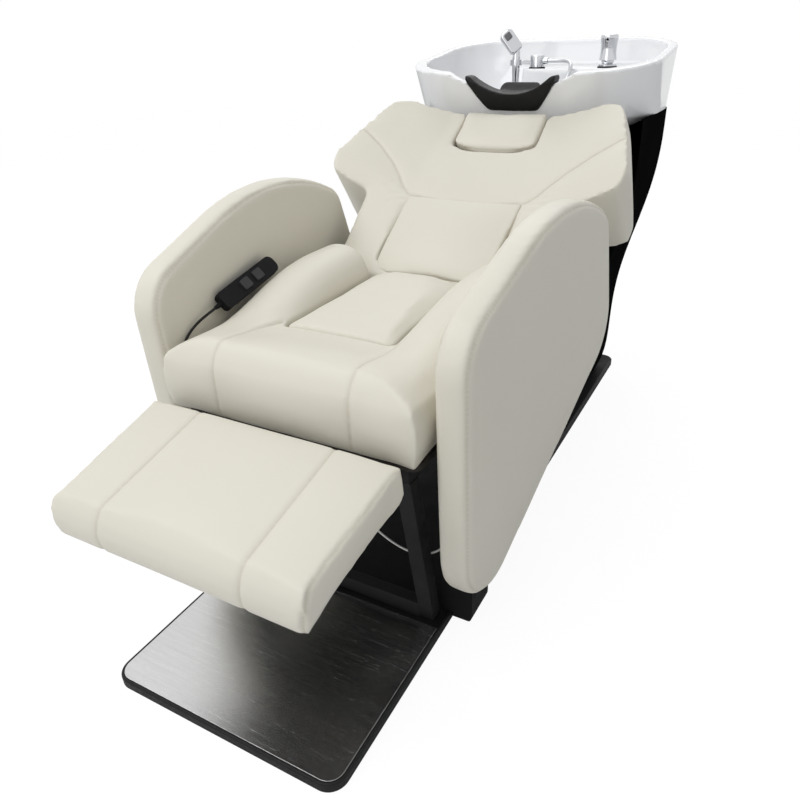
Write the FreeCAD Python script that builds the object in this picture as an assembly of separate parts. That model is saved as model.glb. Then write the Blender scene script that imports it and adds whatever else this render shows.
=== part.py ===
import FreeCAD, Part
import math
import os

os.makedirs("parts", exist_ok=True)
V = FreeCAD.Vector

# Millimetres. +Z is up and the sitter faces -Y. The origin is the middle of the floor plate, on the floor.

# Floor plate with its edge trim and the stainless foot plate in front
plate_half_w = 234.0
plate_half_l = 849.0
plate_t = 12.0
deck_top = 20.0
plate_r = 28.0
trim_w = 6.0
foot_plate_rear = -499.0
foot_sheet_t = 2.0

# Steel frame under the seat
tube = 30.0
rail_x = 205.0
rail_z = 386.0
rail_front = -560.0
rail_rear = 100.0
post_foot_y = -470.0
post_top_y = -541.0

# Seat
seat_bottom = 428.0
board_t = 12.0
seat_half_w = 254.0
seat_front = -591.0
seat_rear = -92.0
insert_half_w = 117.0
insert_front = -417.0
insert_floor = 500.0

# Hinge lines, both along X
leg_hinge = V(0, -598, 405)
back_hinge = V(0, -25, 515)
leg_slope = 12.5
back_slope = 37.0

# Leg rest
leg_corner = V(0, -622, 478)
leg_half_w = 255.0
leg_taper = 14.0
leg_len = 266.0
leg_t = 78.0

# Backrest, measured up the back from its hinge
back_end_r = 58.0
back_top = 530.0
back_half_w = 250.0
wing_half_w = 352.0
wing_low = 236.0
back_rear = -110.0
notch_half_w = 105.0
notch_low = 409.0

# Side panels
arm_in = 262.0
arm_t = 65.0
arm_toe = 2.4
arm_front = -560.0

# Push rods
rod_r = 9.0
leg_rod_x = -60.0
leg_rod_z = 343.0
leg_roller_y = -612.2
back_rod_x = 60.0
back_rod_z = 385.0
back_roller_y = -84.8
roller_r = 10.0
crank_half_t = 6.0
run_gap = 0.06

# Basin
rim_front = V(0, 372, 912)
rim_rear = V(0, 870, 975)
wall_low = 810.0
bowl_floor = 750.0
bowl_under = 735.0
deck_z = 908.0
drain_y = 565.0
mixer_x = 155.0
mixer_y = 715.0
hub_x = -36.0
hub_y = 705.0
wand_x = -92.0
wand_y = 689.0

gap = 0.3


def node(name, shape):
    shape.exportStep("parts/%s.step" % name)
    print(name, "solids", len(shape.Solids), "valid", shape.isValid(), "mm3", round(shape.Volume))


def box(x0, x1, y0, y1, z0, z1):
    return Part.makeBox(x1 - x0, y1 - y0, z1 - z0, V(x0, y0, z0))


def rod(p, axis, r, length):
    return Part.makeCylinder(r, length, p, axis)


def ring(p, axis, r, bore, length):
    return rod(p, axis, r, length).cut(rod(p, axis, bore, length))


def mirrored(shape):
    return shape.mirror(V(0, 0, 0), V(1, 0, 0))


def pair(shape):
    return Part.makeCompound([shape, mirrored(shape)])


def outline(points, at):
    """Closed wire of straight sides joined by tangent corner arcs. A point is (a, b, radius)."""
    edges = []
    spans = []
    for i, (a, b, r) in enumerate(points):
        here = V(a, b, 0)
        before = V(points[i - 1][0], points[i - 1][1], 0) - here
        after = V(points[(i + 1) % len(points)][0], points[(i + 1) % len(points)][1], 0) - here
        before.normalize()
        after.normalize()
        if r == 0:
            spans.append((here, None, here))
            continue
        half = before.getAngle(after) / 2
        reach = r / math.tan(half)
        middle = before + after
        middle.normalize()
        top = here + middle * (r / math.sin(half) - r)
        spans.append((here + before * reach, top, here + after * reach))
    for i, (start, top, end) in enumerate(spans):
        if top is not None:
            edges.append(Part.Arc(at(start), at(top), at(end)).toShape())
        following = spans[(i + 1) % len(spans)][0]
        if (following - end).Length > 0.001:
            edges.append(Part.makeLine(at(end), at(following)))
    return Part.Wire(edges)


def prism_x(points, x0, x1):
    face = Part.Face(outline(points, lambda p: V(x0, p.x, p.y)))
    return face.extrude(V(x1 - x0, 0, 0))


def prism_y(points, y0, y1):
    face = Part.Face(outline(points, lambda p: V(p.x, y0, p.y)))
    return face.extrude(V(0, y1 - y0, 0))


def prism_z(points, z0, z1):
    face = Part.Face(outline(points, lambda p: V(p.x, p.y, z0)))
    return face.extrude(V(0, 0, z1 - z0))


def slab(half_w, y0, y1, r0, r1):
    return [(-half_w, y0, r0), (half_w, y0, r0), (half_w, y1, r1), (-half_w, y1, r1)]


def both_sides(points):
    """Right-hand half of a symmetrical outline, in order, followed by its mirror."""
    return points + [(-a, b, r) for a, b, r in reversed(points)]


def ease(t):
    t = min(max(t, 0.0), 1.0)
    return t * t * (3 - 2 * t)


def padded_section(at, low, high):
    """Section of a pad: flat underside, bowed sides and three crowned rolls on top."""
    (wb, zb), (wm, zm), (ws, zs) = low
    (xc, zc), (xi, zi), z0 = high
    edges = [Part.makeLine(at(-wb, zb), at(wb, zb))]
    edges.append(Part.Arc(at(wb, zb), at(wm, zm), at(ws, zs)).toShape())
    edges.append(Part.Arc(at(ws, zs), at(xc, zc), at(xi, zi)).toShape())
    edges.append(Part.Arc(at(xi, zi), at(0, z0), at(-xi, zi)).toShape())
    edges.append(Part.Arc(at(-xi, zi), at(-xc, zc), at(-ws, zs)).toShape())
    edges.append(Part.Arc(at(-ws, zs), at(-wm, zm), at(-wb, zb)).toShape())
    return Part.Wire(edges)


def on_back(shape):
    shape.rotate(V(0, 0, 0), V(1, 0, 0), back_slope)
    shape.translate(back_hinge)
    return shape


def on_leg(shape):
    shape.rotate(V(0, 0, 0), V(1, 0, 0), leg_slope)
    shape.translate(leg_corner)
    return shape


def cord(name, points, r, least):
    """Round cord of straight runs joined by tangent arcs."""
    edges = []
    start = points[0]
    radii = []
    for i in range(1, len(points) - 1):
        before = points[i - 1] - points[i]
        after = points[i + 1] - points[i]
        short = min(before.Length, after.Length)
        before.normalize()
        after.normalize()
        half_turn = (math.pi - before.getAngle(after)) / 2
        reach = 0.45 * short
        bend = reach / math.tan(half_turn)
        radii.append(bend)
        middle = before + after
        middle.normalize()
        top = points[i] + middle * (bend / math.cos(half_turn) - bend)
        edges.append(Part.makeLine(start, points[i] + before * reach))
        start = points[i] + after * reach
        edges.append(Part.Arc(points[i] + before * reach, top, start).toShape())
    edges.append(Part.makeLine(start, points[-1]))
    path = Part.Wire(edges)
    way = points[1] - points[0]
    section = Part.Wire(Part.makeCircle(r, points[0], way))
    tube_solid = path.makePipeShell([section], True, False)
    ratio = tube_solid.Volume / (math.pi * r * r * path.Length)
    print(name, "length", round(path.Length), "least bend", round(min(radii), 1), "allowed", least,
          "volume ratio", round(ratio, 4))
    node(name, tube_solid)


# Floor plate: painted steel plate, board and stainless sheet in front, painted board behind, rubber edge
floor_outline = slab(plate_half_w, -plate_half_l, plate_half_l, plate_r, plate_r)
node("floor_plate", prism_z(floor_outline, 0, plate_t))
trim_out = slab(plate_half_w + trim_w, -plate_half_l - trim_w, plate_half_l + trim_w,
                plate_r + trim_w, plate_r + trim_w)
trim_in = slab(plate_half_w + gap, -plate_half_l - gap, plate_half_l + gap, plate_r + gap, plate_r + gap)
trim = prism_z(trim_out, 1, deck_top).cut(prism_z(trim_in, 0, deck_top + 1))
trim_edges = []
for edge in trim.Edges:
    ends = [abs(p.Point.x) > plate_half_w + 1 or abs(p.Point.y) > plate_half_l + 1 for p in edge.Vertexes]
    if edge.BoundBox.ZMin > deck_top - 0.1 and all(ends):
        trim_edges.append(edge)
node("floor_trim", trim.makeFillet(trim_w * 0.7, trim_edges))
front_outline = slab(plate_half_w, -plate_half_l, foot_plate_rear, plate_r, 0)
node("foot_plate", prism_z(front_outline, deck_top - foot_sheet_t, deck_top))
rear_outline = slab(plate_half_w, foot_plate_rear + gap, plate_half_l, 0, plate_r)
front_board = prism_z(front_outline, plate_t, deck_top - foot_sheet_t)
node("floor_boards", Part.makeCompound([front_board, prism_z(rear_outline, plate_t, deck_top)]))

# Welded frame: leaning front posts, upright rear posts, two rails and three cross tubes
half = tube / 2
post = prism_x([(post_foot_y - half, deck_top, 0), (post_foot_y + half, deck_top, 0),
                (post_top_y + half, rail_z, 0), (post_top_y - half, rail_z, 0)], rail_x - half, rail_x + half)
rear_post = box(rail_x - half, rail_x + half, 20, 20 + tube, deck_top, rail_z)
low_cross = box(-rail_x + half, rail_x - half, post_foot_y - half, post_foot_y + half - 4,
                deck_top, deck_top + tube)
node("frame_posts", Part.makeCompound([pair(post), pair(rear_post), low_cross]))
inside = rail_x - half
rail_top = rail_z + tube
rail = box(inside, inside + tube, rail_front, rail_rear, rail_z, rail_top)
front_cross = box(-inside, inside, rail_front, rail_front + tube, rail_z, rail_top)
middle_cross = box(-inside, inside, -330, -300, rail_z, rail_top)
rear_cross = box(-inside, inside, rail_rear - tube, rail_rear, rail_z, rail_top)
node("seat_frame", Part.makeCompound([pair(rail), front_cross, middle_cross, rear_cross]))
node("seat_board", prism_z(slab(240, rail_front - 6, seat_rear - 4, 20, 20), rail_top, seat_bottom))

# Side panels: thick upholstered slabs, toed out towards the rear, on spacers off the rails
arm_points = [(-558, 72, 120), (-574, 651, 95), (-168, 792, 540), (71.5, 687, 75), (190, 385, 110)]
arm = prism_x(arm_points, arm_in, arm_in + arm_t)
arm_edges = [edge for edge in arm.Edges if edge.BoundBox.XLength < 0.01]
arm = arm.makeFillet(20, arm_edges)
arm.rotate(V(arm_in, arm_front, 0), V(0, 0, 1), -arm_toe)
node("arm_pad_left", arm)
node("arm_pad_right", mirrored(arm))
spacers = []
for y in (-430, 10):
    spacers.append(rod(V(rail_x + half, y, rail_z + half), V(1, 0, 0), 11, 85).cut(arm))
node("arm_spacers", Part.makeCompound(spacers + [mirrored(s) for s in spacers]))
foot_in = rail_x + half + gap
foot_front = -448
foot_rear = -368
foot_top = 170
foot = prism_y([(243, 0, 0), (284, 0, 26), (284, foot_top, 0), (foot_in, foot_top, 0),
                (foot_in, deck_top + gap, 0), (243, deck_top + gap, 0)], foot_front, foot_rear)
foot_side = [(foot_front, 0, 16), (foot_rear, 0, 16), (foot_rear, foot_top, 0), (foot_front, foot_top, 0)]
foot = foot.common(prism_x(foot_side, 200, 310)).cut(arm)
node("side_feet", pair(foot))

# Seat: U-shaped roll with side bolsters that rise to the rear, and a sunk centre pad


def seat_section(y):
    crest = 568 + 48 * ease((y + 480) / 280)
    seam = 563 - 18 * ease((y + 480) / 60)
    low = (246, seat_bottom), (seat_half_w, 490), (247, crest - 30)
    high = (190, crest), (insert_half_w, seam), seam + 3
    return padded_section(lambda a, b: V(a, y, b), low, high)


seat = Part.makeLoft([seat_section(y) for y in (-600, -500, -440, -380, -290, -200, seat_rear)], True, False)
seat_side = [(seat_rear, seat_bottom, 0), (seat_front, seat_bottom, 22), (seat_front, 575, 66),
             (-470, 590, 0), (seat_rear, 700, 0)]
seat = seat.common(prism_x(seat_side, -300, 300))
insert_plan = slab(insert_half_w, insert_front, seat_rear, 22, 0)
seat = seat.cut(prism_z(insert_plan, insert_floor, 700))
node("seat_cushion", seat)
insert = prism_z(slab(insert_half_w - 0.6, insert_front + 0.6, seat_rear, 21.4, 0), insert_floor + gap, 600)
insert = insert.common(prism_x([(insert_front, insert_floor, 0), (insert_front, 553, 16),
                                (seat_rear, 571, 22), (seat_rear, insert_floor, 0)], -200, 200))
crown_arc = Part.Arc(V(-insert_half_w, -500, 546), V(0, -500, 572), V(insert_half_w, -500, 546))
crown = Part.Wire([crown_arc.toShape(),
                   Part.makeLine(V(insert_half_w, -500, 546), V(insert_half_w, -500, insert_floor)),
                   Part.makeLine(V(insert_half_w, -500, insert_floor), V(-insert_half_w, -500, insert_floor)),
                   Part.makeLine(V(-insert_half_w, -500, insert_floor), V(-insert_half_w, -500, 546))])
insert = insert.common(Part.Face(crown).extrude(V(0, 450, 0)))
node("seat_insert", insert)

# Leg rest: crowned pad on a board, two hinge arms and the crank the push rod bears on
leg_side = [(0, -leg_t, 30), (0, 8, 26), (-leg_len, 8, 66), (-leg_len, -leg_t, 14)]


def leg_section(y):
    half_w = leg_half_w + leg_taper * y / leg_len
    low = (half_w - 8, -leg_t), (half_w, -40), (half_w - 9, -6)
    high = (half_w - 60, -1), (130, -1), 3
    return padded_section(lambda a, b: V(a, y, b), low, high)


leg = Part.makeLoft([leg_section(10), leg_section(-leg_len - 10)], True, True)
leg = leg.common(prism_x(leg_side, -300, 300))
leg_plan = both_sides([(leg_half_w - leg_taper + 1, -leg_len - 1, 24), (leg_half_w + 1, 1, 18)])
leg = leg.common(prism_z(leg_plan, -100, 50))
node("leg_rest_cushion", on_leg(leg))
leg_board = -leg_t - board_t
node("leg_rest_board", on_leg(prism_z(slab(222, 22 - leg_len, -10, 40, 10), leg_board, -leg_t)))
pivot = FreeCAD.Rotation(V(1, 0, 0), -leg_slope).multVec(leg_hinge - leg_corner)
eye_r = 14.0
leg_pin_r = 6.0
heel_y = pivot.y + eye_r - 4
leg_bar = box(166, 174, -200, heel_y, leg_board - 22, leg_board)
leg_bar = leg_bar.fuse(box(166, 174, pivot.y - 6, heel_y, leg_board - 1, pivot.z))
leg_bar = leg_bar.fuse(rod(V(166, pivot.y, pivot.z), V(1, 0, 0), eye_r, 8)).removeSplitter()
leg_bar = leg_bar.cut(rod(V(160, pivot.y, pivot.z), V(1, 0, 0), leg_pin_r + run_gap, 20))
along = V(0, math.cos(math.radians(242 - leg_slope)), math.sin(math.radians(242 - leg_slope)))
across = V(0, -along.z, along.y)
heel = pivot + across * crank_half_t
tip = pivot + along * 92
crank_points = [(heel.y, heel.z, 0), (tip.y + across.y * crank_half_t, tip.z + across.z * crank_half_t, 0),
                (tip.y - across.y * crank_half_t, tip.z - across.z * crank_half_t, 0),
                (-80, leg_board, 0), (-8, leg_board, 0)]
leg_crank = prism_x(crank_points, leg_rod_x - 10, leg_rod_x + 10)
node("leg_rest_arms", on_leg(Part.makeCompound([pair(leg_bar), leg_crank])))
leg_bracket = box(178, 186, leg_hinge.y, rail_front, leg_hinge.z - 12, leg_hinge.z + 11)
leg_bracket = leg_bracket.fuse(rod(V(178, leg_hinge.y, leg_hinge.z), V(1, 0, 0), 12, 8)).removeSplitter()
leg_bracket = leg_bracket.cut(rod(V(170, leg_hinge.y, leg_hinge.z), V(1, 0, 0), leg_pin_r + 0.03, 20))
leg_pin = rod(V(160, leg_hinge.y, leg_hinge.z), V(1, 0, 0), leg_pin_r, 26 + gap)
leg_pin = leg_pin.fuse(rod(V(186 + gap, leg_hinge.y, leg_hinge.z), V(1, 0, 0), 9, 4))

# Backrest: winged cushion around a framed board, with a lumbar panel and a head pad in the top notch


def back_front(u):
    return 50 - 0.0973 * u


def back_section(u):
    dish = back_front(u)
    wing = 54 + 31 * ease((u - 110) / 120)
    low = (360, -125), (364, -30), (360, wing)
    high = (248, dish + 0.42 * (wing - dish)), (140, dish), dish - 6
    return padded_section(lambda a, b: V(a, u, b), low, high)


cushion = Part.makeLoft([back_section(u) for u in (-70, 100, 180, 250, 400, 530)], True, False)
back_side = [(-back_end_r, back_end_r, back_end_r - 0.1), (-back_end_r, -back_end_r, back_end_r - 0.1),
             (14, -back_end_r, 0), (76, back_rear, 30), (400, back_rear, 80), (back_top, -45, 16),
             (back_top, 130, 40), (60, 130, 0), (24, back_end_r, 0)]
cushion = cushion.common(prism_x(back_side, -400, 400))
notch_sag = 16.0


def notch_edge(inset):
    side = notch_half_w - inset
    return [(40, notch_low - notch_sag + inset, 90), (side, notch_low + inset, 24)]


back_plan = both_sides(notch_edge(0) + [(notch_half_w, back_top, 22), (294, back_top - 6, 64),
                                        (wing_half_w + 10, 274, 40), (wing_half_w, wing_low, 20),
                                        (back_half_w + 2, 206, 10), (back_half_w, -70, 0)])
cushion = cushion.common(prism_z(back_plan, -200, 200))
lumbar_half_w = 143.0
lumbar_low = 8.0
lumbar_high = 216.0
lumbar_bed = 22.0


def lumbar_plan(grow):
    side = lumbar_half_w + grow
    return both_sides([(lumbar_half_w - 8 + grow, lumbar_low - grow, 16), (side, lumbar_high + 9 + grow, 8),
                       (60, lumbar_high - 6 + grow, 120)])


cushion = cushion.cut(prism_z(lumbar_plan(0.5), lumbar_bed, 150))
pocket_half_w = 206.0
pocket_v = -60.0
cushion = cushion.cut(box(-pocket_half_w, pocket_half_w, 66, 470, -150, pocket_v))
for side in (-1, 1):
    cushion = cushion.cut(box(min(176 * side, 270 * side), max(176 * side, 270 * side), -80, 78, -150, 24))
cushion = cushion.cut(box(back_rod_x - 14, back_rod_x + 14, -90, 70, -150, -54))
node("back_cushion", on_back(cushion))


def lumbar_section(u, swell):
    rim = V(lumbar_half_w + 8, u, back_front(u) + 1)
    arc = Part.Arc(V(-rim.x, u, rim.z), V(0, u, rim.z + swell), rim).toShape()
    bed = lumbar_bed + gap
    return Part.Wire([arc, Part.makeLine(rim, V(rim.x, u, bed)),
                      Part.makeLine(V(rim.x, u, bed), V(-rim.x, u, bed)),
                      Part.makeLine(V(-rim.x, u, bed), V(-rim.x, u, rim.z))])


lumbar = Part.makeLoft([lumbar_section(-10, 4), lumbar_section(60, 17), lumbar_section(150, 17),
                        lumbar_section(230, 3)], True, False)
lumbar = lumbar.common(prism_z(lumbar_plan(0), lumbar_bed, 120))
node("lumbar_pad", on_back(lumbar))
head_low = notch_low - notch_sag
head_plan = both_sides(notch_edge(1.2) + [(notch_half_w - 1.2, back_top + 2, 22)])
head = prism_z(head_plan, pocket_v + gap, 60)
head = head.common(prism_x([(head_low, pocket_v, 0), (head_low, 8, 18), (back_top, 2, 26),
                            (back_top, pocket_v + 10, 12), (470, pocket_v, 0)], -200, 200))
node("head_pad", on_back(head))
frame_v = -72.0
frame_low = back_rear + 8
node("back_board", on_back(prism_z(slab(188, 75, 469, 8, 8), frame_v, pocket_v - gap)))
side_tube = box(162, 190, 75, 395, frame_low, frame_v)
low_tube = box(-162, 162, 75, 103, frame_low, frame_v)
high_tube = box(-162, 162, 367, 395, frame_low, frame_v)
node("back_cover", on_back(prism_z(slab(pocket_half_w - 1, 76, 398, 14, 14), back_rear, frame_low)))
back_pin_r = 8.0
back_plate = prism_x([(-20, 20, 19), (20, 20, 12), (66, frame_v - 2, 10), (125, frame_v - 2, 8),
                      (125, frame_low, 8), (80, frame_low, 8), (-20, -22, 19)], 190, 198)
back_plate = back_plate.cut(rod(V(180, 0, 0), V(1, 0, 0), back_pin_r + run_gap, 30))
node("back_hinge_plates", on_back(pair(back_plate)))
swing = math.radians(252 - back_slope)
line = V(0, math.cos(swing), math.sin(swing))
side_way = V(0, -line.z, line.y)
near = line * 108
far = line * 156
crank = prism_x([(near.y - side_way.y * crank_half_t, near.z - side_way.z * crank_half_t, 0),
                 (far.y - side_way.y * crank_half_t, far.z - side_way.z * crank_half_t, 0),
                 (far.y + side_way.y * crank_half_t, far.z + side_way.z * crank_half_t, 0),
                 (75, frame_low, 0), (75, frame_v - 2, 0)], back_rod_x - 10, back_rod_x + 10)
node("back_frame", on_back(Part.makeCompound([pair(side_tube), low_tube, high_tube, crank])))
back_bracket = prism_x([(-62, rail_top, 0), (12, rail_top, 0), (-7, 533, 17), (-43, 533, 17)], 202, 210)
back_bracket = back_bracket.cut(rod(V(190, back_hinge.y, back_hinge.z), V(1, 0, 0), back_pin_r + 0.03, 30))
node("hinge_brackets", Part.makeCompound([pair(leg_bracket), pair(back_bracket)]))
back_pin = rod(V(184, back_hinge.y, back_hinge.z), V(1, 0, 0), back_pin_r, 26 + gap)
back_pin = back_pin.fuse(rod(V(210 + gap, back_hinge.y, back_hinge.z), V(1, 0, 0), 12, 5))
node("hinge_pins", Part.makeCompound([pair(leg_pin), pair(back_pin)]))

# Two electric push rods under the seat


def push_rod(x, y, z, way, length):
    """Rod with a fork and cross pin at the roller centre; way is +1 or -1 along Y."""
    root = y - way * 14
    head_block = box(x - 18, x + 18, min(root, root - way * 10), max(root, root - way * 10), z - 9, z + 9)
    stem = rod(V(x, root - way * 10, z), V(0, -way, 0), rod_r, length)
    fork = head_block.fuse(stem)
    for x0 in (x - 18, x + 11.5):
        fork = fork.fuse(box(x0, x0 + 6.5, min(root, y + way * 5), max(root, y + way * 5), z - 6, z + 6))
    return fork.fuse(rod(V(x - 18, y, z), V(1, 0, 0), 4, 36)).removeSplitter()


def roller(x, y, z):
    return ring(V(x - 10, y, z), V(1, 0, 0), roller_r, 4 + run_gap, 20)


node("leg_push_rod", push_rod(leg_rod_x, leg_roller_y, leg_rod_z, -1, 190))
node("leg_roller", roller(leg_rod_x, leg_roller_y, leg_rod_z))
leg_drive = rod(V(leg_rod_x, -490, leg_rod_z), V(0, 1, 0), 17, 130)
leg_drive = leg_drive.fuse(box(leg_rod_x - 30, leg_rod_x + 30, -372, -296, leg_rod_z - 31, rail_z))
leg_drive = leg_drive.cut(rod(V(leg_rod_x, -491, leg_rod_z), V(0, 1, 0), rod_r + run_gap, 190))
leg_motor = rod(V(leg_rod_x, -334, leg_rod_z - 31), V(0, 0, -1), 22, 74)
node("leg_drive", Part.makeCompound([leg_drive, leg_motor]))
node("back_push_rod", push_rod(back_rod_x, back_roller_y, back_rod_z, 1, 118))
node("back_roller", roller(back_rod_x, back_roller_y, back_rod_z))
back_drive = rod(V(back_rod_x, -116, back_rod_z), V(0, -1, 0), 17, 120)
back_drive = back_drive.fuse(box(back_rod_x - 30, back_rod_x + 30, -300, -230, back_rod_z - 30, rail_top))
back_drive = back_drive.cut(rod(V(back_rod_x, -115, back_rod_z), V(0, -1, 0), rod_r + run_gap, 175))
back_motor = rod(V(back_rod_x, -265, back_rod_z - 30), V(0, 0, -1), 22, 74)
node("back_drive", Part.makeCompound([back_drive, back_motor]))
control_bottom = rail_top - 58
node("control_box", prism_z([(-172, -234, 8), (-96, -234, 8), (-96, -112, 8), (-172, -112, 8)],
                            control_bottom, rail_top))
node("mains_inlet", ring(V(-134, -112, control_bottom + 30), V(0, 1, 0), 13, 8, 18))

# Loose white lead under the seat front, from the front cross tube to the side panel
lead = [V(45, -545, rail_z - 4), V(45, -545, 338), V(56, -524, 290), V(76, -502, 247), V(104, -489, 207),
        V(138, -482, 179), V(174, -479, 168), V(208, -479, 176), V(240, -479, 203), V(260, -479, 240),
        V(260, -479, 276)]
cord("actuator_lead", lead, 2.0, 10)
lead_gland = ring(V(45, -545, rail_z), V(0, 0, -1), 6, 2 + gap, 10)
lead_clip = ring(V(260, -479, 264), V(0, 0, 1), 5.4, 2 + gap, 12)
lead_clip = lead_clip.cut(arm)

# Handset with two sprung keys, lying on the bolster against the side panel
key_gap = 0.3


def on_handset(shape):
    shape.rotate(V(0, 0, 0), V(0, 1, 0), handset_roll)
    shape.rotate(V(0, 0, 0), V(1, 0, 0), handset_pitch)
    shape.translate(handset_at)
    return shape


handset_at = V(-249, -424, 573.8)
handset_roll = 50.0
handset_pitch = 11.0
shell_t = 2.5
hand_len = 165.0
hand_half = 18.0
hand_low_z = -9.0
hand_top_z = 9.0
hand_low = prism_z(slab(hand_half, 0, hand_len, 8, 14), hand_low_z, 3)
hand_inside = slab(hand_half - shell_t, shell_t, hand_len - shell_t, 6, 12)
hand_low = hand_low.cut(prism_z(hand_inside, hand_low_z + shell_t, 4))
hand_top = prism_z(slab(hand_half, 0, hand_len, 8, 14), 3, hand_top_z)
hand_top = hand_top.cut(prism_z(hand_inside, 2, hand_top_z - shell_t))
for y in (70, 108):
    hand_top = hand_top.cut(prism_z(slab(11, y - 12, y + 12, 4, 4), 5, 12))
node("handset_cover", on_handset(hand_top))
for name, y in (("key_lower", 70), ("key_raise", 108)):
    key = prism_z(slab(11 - key_gap, y - 12 + key_gap, y + 12 - key_gap, 3.7, 3.7), 3.4, hand_top_z + 3.5)
    key = key.fuse(prism_z(slab(13.5, y - 14.5, y + 14.5, 4, 4), 3.4, 6.1))
    node(name, on_handset(key.removeSplitter()))
relief = Part.makeCone(5.5, 3.6, 16, V(0, 0, -2), V(0, -1, 0))
relief = relief.cut(rod(V(0, 1, -2), V(0, -1, 0), 2.5 + gap, 20))
node("handset_base", on_handset(Part.makeCompound([hand_low, relief])))


def handset_point(x, y, z):
    spot = FreeCAD.Rotation(V(0, 1, 0), handset_roll).multVec(V(x, y, z))
    return FreeCAD.Rotation(V(1, 0, 0), handset_pitch).multVec(spot) + handset_at


hand_cord = [handset_point(0, -1, -2), handset_point(0, -26, -2), V(-253, -474, 561), V(-256, -497, 551),
             V(-258, -518, 536), V(-258.5, -532, 513), V(-258.5, -538, 484), V(-258.3, -536, 454),
             V(-255.5, -525, 428), V(-251, -509, 410), V(-240, -494, rail_z + half),
             V(-rail_x - half - 0.4, -494, rail_z + half)]
cord("handset_cord", hand_cord, 2.5, 15)
cord_gland = ring(V(-rail_x - half, -494, rail_z + half), V(-1, 0, 0), 7, 2.5 + gap, 9)
node("cord_glands", Part.makeCompound([lead_gland, lead_clip, cord_gland]))

# Basin: glazed ceramic bowl with a tap deck at the rear right and a notch for the neck rest
lean = 0.5


def wall_y(z):
    return 390 + lean * (907 - z)


def basin_section(z, half_w, y0, y1, r0, r1):
    return outline(slab(half_w, y0, y1, r0, r1), lambda p: V(p.x, p.y, z))


upper = Part.makeLoft([basin_section(wall_low, 320, wall_y(wall_low), 862, 190, 160),
                       basin_section(990, 329, wall_y(990), 882, 200, 170)], True, True)
lower = Part.makeLoft([basin_section(bowl_under, 170, 483, 725, 90, 90),
                       basin_section(wall_low, 320, wall_y(wall_low), 862, 190, 160)], True, True)
rise = (rim_rear.z - rim_front.z) / (rim_rear.y - rim_front.y)
above = prism_x([(200, rim_front.z + rise * (200 - rim_front.y), 0),
                 (1000, rim_front.z + rise * (1000 - rim_front.y), 0), (1000, 1200, 0),
                 (200, 1200, 0)], -400, 400)
hollow = Part.makeLoft([basin_section(bowl_floor, 130, 503, 665, 80, 80),
                        basin_section(785, 242, 470, 770, 118, 130),
                        basin_section(860, 288, 437, 830, 170, 140),
                        basin_section(990, 301, wall_y(990) + 30, 854, 172, 142)], True, False)
tap_deck = prism_z([(-72, 670, 22), (400, 670, 0), (400, 900, 0), (-72, 900, 0)], 700, deck_z)
basin = upper.fuse(lower).cut(hollow.cut(tap_deck)).cut(above)


def neck_outline(grow):
    """Crescent between two arcs: the neck lies in the upper one."""
    half_span = 116 + grow
    edges = [Part.Arc(V(-half_span, 355, 903), V(0, 355, 830 - grow), V(half_span, 355, 903)).toShape(),
             Part.makeLine(V(half_span, 355, 903), V(half_span - 16, 355, 1000)),
             Part.makeLine(V(half_span - 16, 355, 1000), V(16 - half_span, 355, 1000)),
             Part.makeLine(V(16 - half_span, 355, 1000), V(-half_span, 355, 903))]
    return Part.Face(Part.Wire(edges)).extrude(V(0, 120, 0))


basin = basin.cut(neck_outline(gap))
rim_dip = 325.0
basin = basin.cut(rod(V(0, 300, 872 + rim_dip), V(0, 1, 0), rim_dip, 180))
basin = basin.cut(rod(V(0, drain_y, bowl_under - 40), V(0, 0, 1), 22 + gap, 200))
basin = basin.cut(rod(V(mixer_x, mixer_y, bowl_under - 40), V(0, 0, 1), 9, 300))
basin = basin.cut(rod(V(hub_x, hub_y, bowl_under - 40), V(0, 0, 1), 7, 300))
node("basin", basin)
# Cowl behind: black shell, wide under the basin and drawn in to the floor, open towards the chair


def cowl_section(z, half_w, rear, grow):
    return outline(slab(half_w - grow, 430 + grow, rear - grow, 60, 110 - grow), lambda p: V(p.x, p.y, z))


def cowl_body(grow):
    shape = [cowl_section(deck_top, 205, 836, grow), cowl_section(205, 236, 836, grow),
             cowl_section(370, 250, 838, grow), cowl_section(525, 286, 846, grow),
             cowl_section(640, 309, 852, grow), cowl_section(808, 316, 856, grow)]
    return Part.makeLoft(shape, True, False)


cowl = cowl_body(0).cut(cowl_body(5)).cut(box(-400, 400, 400, 482, 0, 900))
door_cut = cowl_body(-20).cut(cowl_body(2.7)).common(box(-140, 140, 780, 900, 90, 520))
door_skin = cowl_body(0).cut(cowl_body(2.4)).common(box(-139, 139, 780, 900, 91, 519))
node("cowl_door", door_skin)
under_basin = lower.copy()
under_basin.translate(V(0, 0, -0.6))
node("rear_cowl", cowl.cut(door_cut).cut(under_basin).cut(box(-400, 400, 400, 900, wall_low - 0.6, 900)))

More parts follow.
